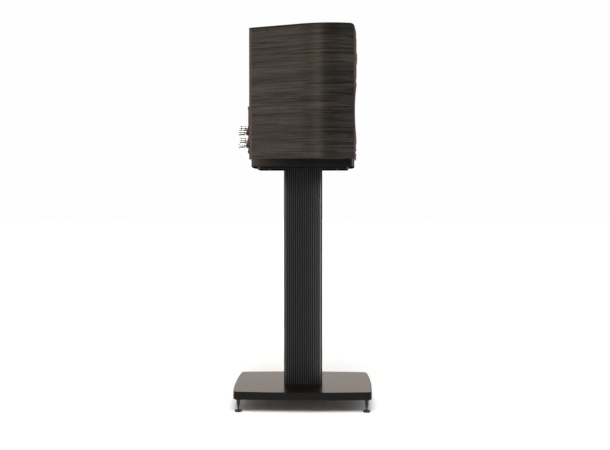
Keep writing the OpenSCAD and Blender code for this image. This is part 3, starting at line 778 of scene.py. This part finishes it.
def stretched_ring(node, driver, profile, seat_y, held_r, moving_r, sectors):
    """A turned ring cut into sectors, each a piece of its own.

    The points at held_r and moving_r on each sector's ray are worked out, but nothing uses them.
    """
    ring = turned(node + "_ring", profile + profile[:1], 144)
    on_axis(ring, driver, seat_y)
    hub = Vector((driver.x, driver.z))
    half = math.pi / sectors + 1e-4
    for number in range(sectors):
        angle = 2 * math.pi * (number + 0.5) / sectors
        ray = Vector((math.cos(angle), math.sin(angle)))
        piece = copied(ring, f"{node}_part_{number + 1}")

        def outside(face):
            centre = face.calc_center_median()
            return (Vector((centre.x, centre.z)) - hub).angle(ray) > half

        with editing(piece, False):
            pick(outside, "FACE")
            bpy.ops.mesh.delete(type="FACE")
            bpy.ops.mesh.select_all(action="SELECT")
            bpy.ops.mesh.fill_holes(sides=0)
            bpy.ops.mesh.normals_make_consistent(inside=False)
        smoothed(piece, 50)
        held = hub + ray * (held_r * MM)
        moving = hub + ray * (moving_r * MM)
        painted(piece, SLOT_OF[node])
        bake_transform(piece)
        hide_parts(node)
    bpy.data.objects.remove(ring)


def rolled_surround(node, driver, piston, seat_y, roll_r, wall, lip, landing, sectors):
    """A half-round roll between cone and frame: a lip on the piston, the roll, then a flat landing."""
    rim = radius_of(piston)
    middle_r = rim + roll_r
    over = arc(middle_r, 0, roll_r - 0.1, 180, 0, 18)
    under = arc(middle_r, 0, roll_r - 0.1 - wall, 0, 180, 18)
    outer = middle_r + roll_r + landing
    profile = [
        (rim - lip, 0.1), *over, (outer, 0), (outer, -wall), *under[:1], *under, (rim - lip, 0.1 - wall * 0.6)
    ]
    stretched_ring(node, driver, profile, seat_y, middle_r + roll_r * 0.6, rim - 0.5, sectors)


def woofer_spider():
    """Corrugated cloth disc that centres the coil."""
    rim = radius_of("woofer_spider")
    hub = radius_of("woofer_voice_coil") - 0.5
    landing = rim - 4.5
    waves = 6
    swing = 1.5
    wall = 0.45
    steps = 10 * waves
    front = []
    for i in range(steps + 1):
        share = i / steps
        fade = min(1, 6 * share, 6 * (1 - share))
        front.append((hub + (landing - hub) * share, swing * fade * math.sin(2 * math.pi * waves * share)))
    front.append((rim, 0))
    back = [(radius, height - wall) for radius, height in reversed(front)]
    seat_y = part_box("woofer_spider")[0].y
    stretched_ring("woofer_spider", WOOFER, front + back, seat_y, landing - 3, hub + 1.5, 12)


# ---- Screws and nuts ----


LONGEST_THREAD = 30


def socket_screw(name, head_r, head_h, shank_r, shank_l):
    """A socket screw with its head up: foot of the shank at -shank_l, top of the head at head_h."""
    ease = head_r * 0.14
    thread_pitch = 1.0
    turns = int(min(shank_l, LONGEST_THREAD) / thread_pitch) - 1
    profile = [(0, -shank_l), (shank_r * 0.75, -shank_l)]
    for i in range(turns):
        foot = -shank_l + 0.3 + i * thread_pitch
        profile += [(shank_r, foot + 0.2), (shank_r * 0.84, foot + 0.7)]
    profile += [
        (shank_r, -0.4), (shank_r, 0), (head_r - ease / 2, 0), (head_r, ease / 2),
        (head_r, head_h - ease), (head_r - ease * 0.4, head_h - ease * 0.3), (head_r - ease, head_h),
        (0, head_h)
    ]
    piece = turned(name, profile, 32)
    socket = head_h * 0.6
    cut(piece, rod(6, head_r * 0.5, 2 * socket, head_h))
    return smoothed(piece)


def set_of_screws(node, head_r, head_h, shank_r, shank_l, turn, places):
    """One socket screw for each place, joined as the node's own set."""
    first = socket_screw(node + "_socketed", head_r, head_h, shank_r, shank_l)
    twins = [first, *(copied(first, f"{node}_{i}") for i in range(1, len(places)))]
    for twin, place in zip(twins, places):
        placed(twin, place, turn)
    return dressed(joined(twins), "enclosure", node)


def plate_screws(node, head_r, head_h, shank_r, turn):
    """Four screws through the corners of a plate that looks to the front or to the back."""
    low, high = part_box(node)
    head_y, tip_y = (low.y, high.y) if turn is FACE_FRONT else (high.y, low.y)
    seat = head_y + math.copysign(head_h * MM, tip_y - head_y)
    mid_z = middle(node).z
    x = high.x - head_r * MM
    z = high.z - head_r * MM - mid_z
    places = [(sx * x, seat, mid_z + sz * z) for sx, sz in CORNERS]
    set_of_screws(node, head_r, head_h, shank_r, abs(tip_y - seat) / MM, turn, places)


def woofer_screws():
    """A ring of screws round the basket, none of them at its top."""
    low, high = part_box("woofer_screws")
    head_r, head_h = 3.5, 2.6
    seat = low.y + head_h * MM
    shank = (high.y - seat) / MM
    angles = [math.radians(45 * i + 22.5) for i in range(8)]
    reach = (high.x - head_r * MM) / math.cos(angles[0])
    places = [(WOOFER.x + reach * math.cos(a), seat, WOOFER.z + reach * math.sin(a)) for a in angles]
    set_of_screws("woofer_screws", head_r, head_h, 1.95, shank, FACE_FRONT, places)


def stand_bolts(node, head_r, head_h, shank_r):
    """Four long bolts with their heads down."""
    low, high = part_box(node)
    seat = low.z + head_h * MM
    shank = (high.z - seat) / MM
    x = high.x - head_r * MM
    y = high.y - head_r * MM
    places = [(sx * x, sy * y, seat) for sx, sy in CORNERS]
    set_of_screws(node, head_r, head_h, shank_r, shank, (math.radians(180), 0, 0), places)


def foot_lock_nuts():
    """Hexagon nuts with chamfered corners, each tightened to another angle."""
    low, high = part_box("foot_lock_nuts")
    corner_r, chamfer_r, chamfer_h = 7.5, 6.75, 0.4
    bore = 4.1
    height = height_of("foot_lock_nuts")
    x = high.x - corner_r * MM
    y = high.y - corner_r * MM
    half = [(0, 0), (chamfer_r, 0), (corner_r, chamfer_h)]
    chamfer = turned("nut_chamfer", half + [(radius, height - h) for radius, h in reversed(half)])
    nut = rod(6, corner_r, height, height / 2)
    nut.name = "foot_lock_nuts_hex"
    cut(nut, chamfer, "INTERSECT")
    cut(nut, rod(48, bore, 4 * height))
    placed(nut)
    nuts = [nut] + [copied(nut, f"nut_{i}") for i in range(3)]
    for number, twin in enumerate(nuts):
        spot = (x * (-1) ** number, y * (-1) ** (number // 2), low.z)
        placed(twin, spot, (0, 0, math.radians(11 * number)))
    dressed(smoothed(joined(nuts)), "enclosure", "foot_lock_nuts")


# ---- Windings, crossover and wires ----


def ridges(start, end, count, dip):
    """Points along one side of a winding. Each turn of wire is a low ridge with a dip at its foot."""
    (r0, h0), (r1, h1) = start, end
    points = []
    for i in range(count):
        for share, sunk in ((0.0, 1), (0.25, 0), (0.75, 0)):
            t = (i + share) / count
            points.append((r0 + (r1 - r0) * t + dip[0] * sunk, h0 + (h1 - h0) * t + dip[1] * sunk))
    return points


def winding(name, inner, outer, top, gauge):
    """A coil of round wire about Z."""
    across = max(2, round((outer - inner) / gauge))
    along = round(top / gauge)
    dip = gauge * 0.3
    profile = [
        *ridges((inner, 0), (outer, 0), across, (0, dip)),
        *ridges((outer, 0), (outer, top), along, (-dip, 0)),
        *ridges((outer, top), (inner, top), across, (0, -dip)),
        *ridges((inner, top), (inner, 0), along, (dip, 0)),
    ]
    return smoothed(turned(name, profile + profile[:1], 72), 40)


def bent_wire(name, stops, radius, bend):
    """A round wire along straight runs between stops, with an eased bend at each of them. Millimetres."""
    stops = [Vector(stop) * MM for stop in stops]
    line = [stops[0]]
    for last, corner, following in zip(stops, stops[1:], stops[2:]):
        back, ahead = last - corner, following - corner
        start = corner + back.normalized() * min(bend * MM, back.length * 0.45)
        end = corner + ahead.normalized() * min(bend * MM, ahead.length * 0.45)
        for i in range(9):
            t = i / 8
            line.append(start * (1 - t) ** 2 + corner * 2 * t * (1 - t) + end * t**2)
    line.append(stops[-1])
    curve = bpy.data.curves.new(name, "CURVE")
    curve.dimensions = "3D"
    curve.bevel_depth = radius * MM
    curve.bevel_resolution = 3
    curve.use_fill_caps = True
    run = curve.splines.new("POLY")
    run.points.add(len(line) - 1)
    for point, spot in zip(run.points, line):
        point.co = (*spot, 1)
    piece = bpy.data.objects.new(name, curve)
    bpy.context.scene.collection.objects.link(piece)
    take(piece)
    bpy.ops.object.convert(target="MESH")
    with editing(piece):
        bpy.ops.mesh.remove_doubles(threshold=MERGE)
        bpy.ops.mesh.normals_make_consistent(inside=False)
    return smoothed(piece, 60)


def crossover_inductors():
    """Air-cored coils. Each has its place on the board, its radius and its length."""
    board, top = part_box("crossover_board")
    coils = []
    for number, (x, y, outer, length) in enumerate(((-10, 22, 20, 16), (13, 64, 15, 14))):
        coil = winding(f"crossover_coil_{number + 1}", 0.45 * outer, outer, length, 1.25)
        coils.append(placed(coil, (x * MM, board.y + y * MM, top.z)))
    dressed(joined(coils), "enclosure", "crossover_inductors")


def crossover_capacitors():
    """Round film capacitors with potted ends, on leads bent down into the board."""
    board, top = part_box("crossover_board")
    for number, (x, y, radius, length) in enumerate(((21, 4, 8, 36), (-16, 48, 7, 32))):
        name = f"crossover_capacitor_{number + 1}"
        end = [
            (0, 1.0), (radius - 1.8, 1.0), (radius - 1.4, 0.2), (radius - 0.8, 0), (radius - 0.2, 0.4),
            (radius, 1.2)
        ]
        body = turned(name, end + [(r, length - h) for r, h in reversed(end)], 64)
        foot = board.y / MM + y
        height = top.z / MM + radius
        placed(body, (x * MM, foot * MM, height * MM), FACE_BACK)
        dressed(smoothed(body), "enclosure", "crossover_capacitors")
        for side, start, out in (("a", foot + 1.5, -1), ("b", foot + length - 1.5, 1)):
            stops = [(x, start, height), (x, start + out * 4, height), (x, start + out * 4, top.z / MM)]
            lead = bent_wire(f"{name}_lead_{side}", stops, 0.5, 1.5)
            dressed(lead, "enclosure", "crossover_capacitors", "plated_steel")


def voice_coil(node, driver, body, wound, former_t, wall):
    """Fine wire over the first stretch of a thin former."""
    outer = radius_of(node)
    length = depth_of(node)
    former, inner = outer - former_t, outer - wall
    turns = ridges((outer, 0), (outer, wound), round(wound / 0.45), (-0.1, 0))
    profile = [(inner, 0), *turns, (outer, wound), (former, wound), (former, length), (inner, length)]
    coil = turned(node + "_wound", profile + profile[:1], 96)
    on_axis(coil, driver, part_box(node)[1].y)
    dressed(smoothed(coil, 40), body, node)


def internal_wiring():
    """Pairs of insulated wires from the crossover to the terminals, the woofer and the tweeter.

    The distances between their bends are those of the CAD wires that they stand for.
    """
    board, top = (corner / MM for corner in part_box("crossover_board"))
    deck = top.z + 0.5
    post_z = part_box("bottom_board")[0].z / MM + 58
    post_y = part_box("rear_panel")[1].y / MM - 22
    woofer_z = WOOFER.z / MM
    woofer_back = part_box("woofer_top_plate")[0].y / MM + 0.3
    beside = radius_of("woofer_magnet") + 6
    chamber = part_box("tweeter_rear_chamber")[1].y / MM + 0.4
    tweeter_z = TWEETER.z / MM
    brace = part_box("window_brace")[0].y / MM
    over_basket = woofer_z + radius_of("woofer_basket")
    for x, slot in ((-3, "wire"), (3, "black_plastic")):
        runs = (
            [(x, post_y, post_z), (x, post_y, deck + 20), (x, top.y - 6, deck + 20), (x, top.y - 6, deck)],
            [
                (x - beside, woofer_back, woofer_z), (x - beside, woofer_back + 40, woofer_z),
                (x - 25, board.y + 3, deck + 40), (x - 25, board.y + 3, deck)
            ],
            [
                (x, chamber, tweeter_z), (x, chamber + 6, tweeter_z), (x, brace + 80, tweeter_z - 20),
                (x, brace + 160, over_basket), (x + 25, board.y + 44, deck + 30),
                (x + 25, board.y + 44, deck)
            ],
        )
        wires = [bent_wire(f"{slot}_run_{i + 1}", stops, 0.95, 10) for i, stops in enumerate(runs)]
        loom = joined(wires)
        loom.name = f"internal_wiring_{slot}"
        dressed(loom, "enclosure", "internal_wiring", slot)


def damping_wadding():
    """Felt blanket round the inside walls, lumpy and pressed in where it is tacked."""
    piece = freed("damping_wadding", "damping_wadding_felt")
    with editing(piece):
        bpy.ops.mesh.remove_doubles(threshold=MERGE)
    modified(piece, "REMESH", mode="VOXEL", voxel_size=3.5 * MM)
    lumps = bpy.data.textures.new("felt_lumps", "CLOUDS")
    lumps.noise_scale = 0.03
    lumps.noise_depth = 3
    tufts = bpy.data.textures.new("felt_tufts", "STUCCI")
    tufts.noise_scale = 0.006
    for texture, strength in ((lumps, 5.0 * MM), (tufts, 1.2 * MM)):
        modified(piece, "DISPLACE", texture=texture, texture_coords="LOCAL", strength=strength, mid_level=1.0)
    modified(piece, "SMOOTH", factor=0.5, iterations=2)
    take(piece)
    bpy.ops.object.shade_smooth()
    dressed(piece, "enclosure", "damping_wadding")


# ---- Binding posts ----

GRIPS = 8
POST_BORE = 4.0


def on_post(piece, node):
    """Sets a turned piece in its node's place behind the cabinet, with its top to the back."""
    spot = middle(node)
    return placed(piece, (spot.x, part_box(node)[0].y, spot.z), FACE_BACK)


def fluted(piece, low, high, least, share, pinch):
    """Presses lengthwise flutes between two heights of a turned piece, into what is past a radius."""
    step = 2 * math.pi / GRIPS

    def in_flute(corner):
        flute = (math.atan2(corner.co.y, corner.co.x) / step + 0.5) % 1
        at_height = low * MM < corner.co.z < high * MM
        return at_height and corner.co.xy.length > least * MM and abs(flute - 0.5) < share / 2

    with editing(piece, False):
        pick(in_flute)
        bpy.ops.transform.resize(value=(pinch, pinch, 1), center_override=(0, 0, 0))
    return piece


def post_knob(number):
    """A fluted knob, narrower behind its rim."""
    node = f"post_knob_{number}"
    bore = POST_BORE
    rim = radius_of(node)
    length = depth_of(node)
    profile = [
        (bore, 0), (6.4, 0), (6.9, 0.3), (7.1, 0.8), (7.1, 1.4), (7.2, 1.8), (7.6, 2.3), (7.8, 3.0),
        (7.9, 4.6), (7.8, 8.0), (7.8, 11.0), (7.9, 13.0), (8.1, 13.8), (8.5, 14.9), (rim - 0.05, 15.9),
        (rim, 16.3), (rim, length - 0.9), (rim - 0.3, length - 0.3), (rim - 0.9, length), (5.6, length),
        (5.2, length - 0.6), (4.6, length - 0.7), (bore, length - 0.7), (bore, 0)
    ]
    piece = turned(f"{node}_fluted", profile, 12 * GRIPS)
    fluted(piece, 1.9, length - 0.6, 7.3, 0.62, 0.95)
    fluted(piece, 1.9, length - 0.6, 7.0, 0.4, 0.92)
    on_post(piece, node)
    return dressed(smoothed(piece, 24), f"post_{number}_knob", node)


def post_collar(number):
    """A clamping collar with one groove, the same both ways round."""
    node = f"post_collar_{number}"
    rim = radius_of(node)
    height = depth_of(node)
    half = [
        (POST_BORE, 0.2), (POST_BORE + 0.3, 0), (rim - 0.4, 0), (rim, 0.4), (rim, height / 2 - 0.5),
        (rim - 0.4, height / 2 - 0.2)
    ]
    profile = half + [(radius, height - h) for radius, h in reversed(half)] + half[:1]
    piece = turned(f"{node}_grooved", profile, 64)
    on_post(piece, node)
    return dressed(smoothed(piece), f"post_{number}_collar", node)


def post_rings(node, numbers):
    """Insulating rings behind the collars, with a rounded shoulder and a shallow groove."""
    rim, bore = 8.0, 3.95
    height = depth_of(node)
    profile = [
        (bore, 0), (rim, 0), (rim, height * 0.42), (rim - 0.5, height * 0.48), (rim - 0.5, height * 0.54),
        (rim, height * 0.6), *arc(rim - 1.2, height - 1.2, 1.2, 0, 90, 6), (bore, height), (bore, 0)
    ]
    rings = []
    for number in numbers:
        post = middle(f"post_collar_{number}")
        ring = turned(f"{node}_{number}", profile, 72)
        rings.append(placed(ring, (post.x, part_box(node)[0].y, post.z), FACE_BACK))
    pair = joined(rings)
    pair.name = node + "_shouldered"
    return dressed(smoothed(pair), "enclosure", node)


# ---- Feet ----


def foot_part(node, body, profile, sides):
    """A turned part of a foot, upright in its node's place."""
    spot = middle(node)
    piece = turned(f"{node}_turned", profile, sides)
    placed(piece, (spot.x, spot.y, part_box(node)[0].z))
    return dressed(smoothed(piece), body, node)


def foot_disc(number):
    """A floor disc with a shallow tray round the dimple that the spike stands in."""
    node = f"foot_disc_{number}"
    rim = radius_of(node)
    height = height_of(node)
    profile = [
        (0, 0), (rim - 0.8, 0), (rim - 0.2, 0.3), (rim, 0.8), (rim, height - 1.5), (rim - 0.3, height - 0.9),
        (rim - 0.9, height - 0.4), (rim - 1.6, height - 0.3), (rim - 1.9, height - 0.5),
        (rim - 2.6, height - 0.5), (rim - 3.0, height - 0.1), (3.6, height), (2.9, height),
        (2.6, height - 0.3), (1.7, height - 1.4), (0, height - 1.4)
    ]
    return foot_part(node, f"foot_{number}_disc", profile, 72)


def foot_spike(number):
    """A cone under a collar with one groove, and the thread that goes up into the plate."""
    node = f"foot_spike_{number}"
    body_r = radius_of(node)
    top = height_of(node)
    shoulder = (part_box("foot_lock_nuts")[0].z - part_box(node)[0].z) / MM - 0.3
    crest_r, root_r, pitch = 4.0, 3.44, 1.25
    profile = [(0, 0), (0.7, 0.1), (1.2, 0.6), (1.7, 1.6), (1.7, 4.6), (1.9, 5.2)]
    profile += [(1.9 + (body_r - 1.9) * s, 5.2 + (shoulder - 16.4) * s) for s in (0.33, 0.66)]
    profile += [
        (body_r - 0.1, shoulder - 11), (body_r, shoulder - 10), (body_r, shoulder - 7.4),
        (body_r - 0.7, shoulder - 7), (body_r - 0.7, shoulder - 6.2), (body_r, shoulder - 5.8),
        (body_r, shoulder - 0.4), (body_r - 0.4, shoulder), (root_r, shoulder)
    ]
    for i in range(int((top - shoulder) / pitch) - 1):
        foot = shoulder + 0.4 + i * pitch
        profile += [(root_r, foot), (crest_r, foot + 0.5), (crest_r, foot + 0.7)]
    profile += [(root_r, top - 0.5), (crest_r * 0.75, top), (0, top)]
    return foot_part(node, f"foot_{number}_spike", profile, 48)


# ---- Studio ----

COOL = (1, 1, 1)
WARM = (1, 0.90, 0.83)
AMBER = (1, 0.79, 0.66)
# Bearing in degrees from -X towards +Y, brightness, hue
PANORAMA = (
    (-180, 1.35, WARM), (-156, 1.35, WARM), (-148, 0.5, COOL), (-86, 0.5, COOL), (-82, 1.6, COOL),
    (-52, 1.6, COOL), (-49, 0.22, COOL), (-16, 0.22, COOL), (-12, 0.02, COOL), (9, 0.02, AMBER),
    (12, 1.5, AMBER), (17, 1.3, AMBER), (25, 0.55, AMBER), (35, 0.6, AMBER), (43, 1.15, AMBER),
    (57, 1.0, COOL), (82, 0.9, COOL), (86, 0.5, COOL), (148, 0.5, COOL), (156, 1.35, WARM), (180, 1.35, WARM)
)
PEAK = 1.7


def surroundings():
    """White to the eye. It lights the speaker as softboxes round it do, with a dim wall on its left."""
    world = bpy.data.worlds.new("studio")
    bpy.context.scene.world = world
    world.use_nodes = True
    sky = Graph(world.node_tree)
    x, y, z = sky.parts(sky.node("ShaderNodeTexCoord", output="Generated"))
    bearing = sky.maths("ARCTAN2", y, 0.0 - x)
    stops = [((angle + 180) / 360, [level / PEAK * part for part in hue]) for angle, level, hue in PANORAMA]
    wall = sky.ramp(bearing * (0.5 / math.pi) + 0.5, *stops)
    light = PEAK - sky.step(z, 0.5, 0.85) * (0.65 * PEAK)
    seen = sky.node("ShaderNodeLightPath", output="Is Camera Ray")
    background = world.node_tree.nodes["Background"]
    sky.feed(background.inputs["Color"], sky.blend(seen, wall, grey(1)))
    sky.feed(background.inputs["Strength"], light * (1.0 - seen) + seen * 0.99)


def studio_floor():
    """Pale and matte."""
    deselect()
    bpy.ops.mesh.primitive_plane_add(size=60)
    floor = bpy.context.object
    floor.name = "studio_floor"
    chalk = Finish("studio_floor", Roughness=0.9, Specular_IOR_Level=0.1)
    chalk.set(chalk.blend(chalk.grain(3, 2), grey(0.86), grey(0.88)))
    floor.data.materials.append(chalk.material)


def key_light():
    """A very wide light overhead, leaning to the speaker's left."""
    deselect()
    bpy.ops.object.light_add(type="SUN", location=(-2, 0, 3), rotation=(0, math.radians(-28), 0))
    lamp = bpy.context.object
    lamp.name = "key_light"
    lamp.data.energy = 3.2
    lamp.data.angle = math.radians(40)


def strip_light(name, at, target, power):
    """A narrow light close to the column, out of sight, that draws the edges of its flutes."""
    deselect()
    bpy.ops.object.light_add(type="AREA", location=at)
    lamp = bpy.context.object
    lamp.name = name
    lamp.data.shape = "RECTANGLE"
    lamp.data.size = 0.02
    lamp.data.size_y = 0.56
    lamp.data.energy = power
    lamp.data.spread = math.radians(46)
    lamp.visible_camera = False
    lamp.rotation_euler = (Vector(target) - Vector(at)).to_track_quat("-Z", "Y").to_euler()


CAMERA_AT = (-2.326, -0.0493, 0.5772)
CAMERA_TURN = 1.095
CAMERA_DIP = 0.599
LENS = 46.87
RISE = -0.02


def camera():
    """On the speaker's left side, at the middle of the stand."""
    turn = (math.radians(90 - CAMERA_DIP), 0, math.radians(CAMERA_TURN - 90))
    bpy.ops.object.camera_add(location=CAMERA_AT, rotation=turn)
    eye = bpy.context.object
    eye.data.lens = LENS
    eye.data.shift_y = RISE
    bpy.context.scene.camera = eye
    bpy.context.scene.view_settings.view_transform = "Standard"


# ---- Putting it together ----

for node, thing in frame["nodes"].items():
    thing.data.materials.clear()
    thing.data.materials.append(FINISHES[SLOT_OF[node]])

# Node and the width of its rounded edges, in millimetres
for node, width in {
    "left_side_panel": 0.7, "right_side_panel": 0.7, "rear_panel": 0.6, "top_panel": 0.4, "front_baffle": 0.3,
    "port_trim": 0.8, "woofer_trim_ring": 0.5, "tweeter_faceplate": 0.4, "terminal_plate": 0.6,
    "stand_top_plate": 0.35, "column_flange": 0.3, "fluted_column": 0.45, "base_plate": 1.4,
    "woofer_magnet": 1.2, "woofer_top_plate": 0.5, "woofer_yoke": 0.8, "tweeter_magnet": 0.7,
    "tweeter_rear_chamber": 1.0, "bottom_board": 0.4, "window_brace": 0.6, "port_duct": 0.4,
}.items():
    eased(node, width)

woofer_cone()
domed("woofer_dust_cap", WOOFER, "woofer_piston", wall=0.7, undercut=2.5, steps=16)
rolled_surround(
    "woofer_surround", WOOFER, "woofer_cone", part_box("woofer_surround")[1].y - 0.8 * MM,
    roll_r=5.5, wall=0.8, lip=2.5, landing=6.0, sectors=24,
)
woofer_spider()
woofer_screws()
voice_coil("woofer_voice_coil", WOOFER, "woofer_piston", wound=14, former_t=0.62, wall=1.0)
voice_coil(
    "tweeter_voice_coil", TWEETER, "tweeter_piston",
    wound=depth_of("tweeter_voice_coil") * 0.4, former_t=0.3, wall=0.7,
)
domed("tweeter_dome", TWEETER, "tweeter_piston", wall=0.4, undercut=2, steps=20)
rolled_surround(
    "tweeter_surround", TWEETER, "tweeter_dome", TWEETER.y,
    roll_r=2.0, wall=0.5, lip=0.2, landing=1.2, sectors=12,
)
plate_screws("tweeter_screws", head_r=3.2, head_h=2.4, shank_r=1.9, turn=FACE_FRONT)
plate_screws("terminal_screws", head_r=2.9, head_h=1.8, shank_r=1.5, turn=FACE_BACK)
crossover_inductors()
crossover_capacitors()
internal_wiring()
damping_wadding()
stand_bolts("cabinet_bolts", head_r=5, head_h=4, shank_r=3)
stand_bolts("column_tie_bolts", head_r=6.5, head_h=8, shank_r=4)
foot_lock_nuts()
post_rings("post_rings_black", (1, 2))
post_rings("post_rings_red", (3, 4))
for number in range(1, 5):
    post_knob(number)
    post_collar(number)
    foot_disc(number)
    foot_spike(number)

camera()
surroundings()
studio_floor()
key_light()
strip_light("front_strip", (-0.10, -0.12, 0.36), (-0.04, -0.065, 0.36), 0.14)
strip_light("rear_strip", (-0.10, 0.12, 0.36), (-0.04, 0.075, 0.36), 0.08)
